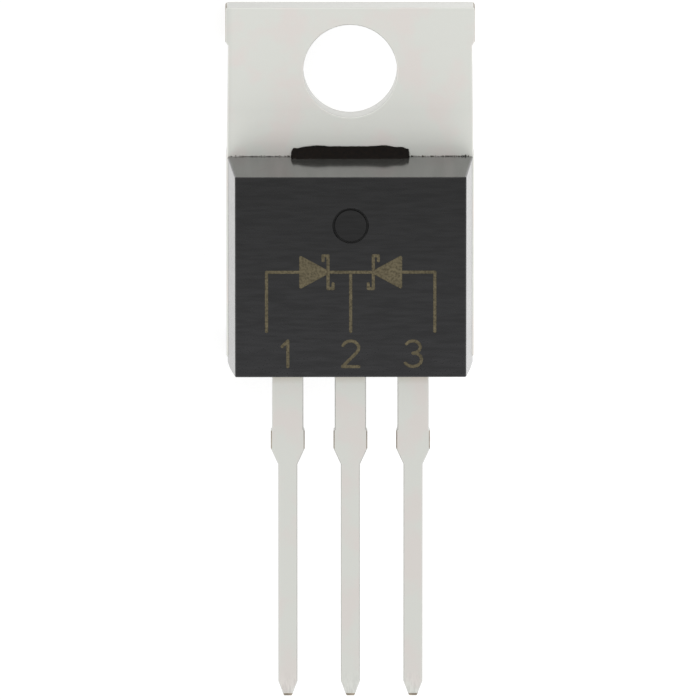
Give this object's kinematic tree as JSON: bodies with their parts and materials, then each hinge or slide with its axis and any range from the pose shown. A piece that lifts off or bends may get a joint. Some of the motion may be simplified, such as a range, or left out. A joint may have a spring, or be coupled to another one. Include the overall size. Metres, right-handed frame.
{
  "type": "schottky diode",
  "caption": "Twin common-cathode Schottky rectifier: black moulded body on a metal screw-down tab, with flat solder leads.",
  "frame": {"origin": "centre of the part's box, on the plane of the tab's back face", "axes": "+Z from the tab's back to the marked face, +Y from the lead tips to the tab, +X to the right as the marked face is read"},
  "size_m": [0.01, 0.0282, 0.0045],
  "materials": {
    "moulding_compound": "fine matt moulded epoxy",
    "tinned_copper": "satin matt tin plating",
    "silicon": "polished",
    "soft_solder": "satin",
    "aluminium_wire": "drawn"
  },
  "bodies": {
    "root": {"moulded_body": "moulding_compound", "heatsink_tab": "tinned_copper", "anode_lead_left": "tinned_copper", "anode_lead_right": "tinned_copper", "schottky_die_left": "silicon", "schottky_die_right": "silicon", "die_solder_left": "soft_solder", "die_solder_right": "soft_solder", "bond_wire_left_inner": "aluminium_wire", "bond_wire_left_outer": "aluminium_wire", "bond_wire_right_inner": "aluminium_wire", "bond_wire_right_outer": "aluminium_wire"}
  },
  "joints": []
}
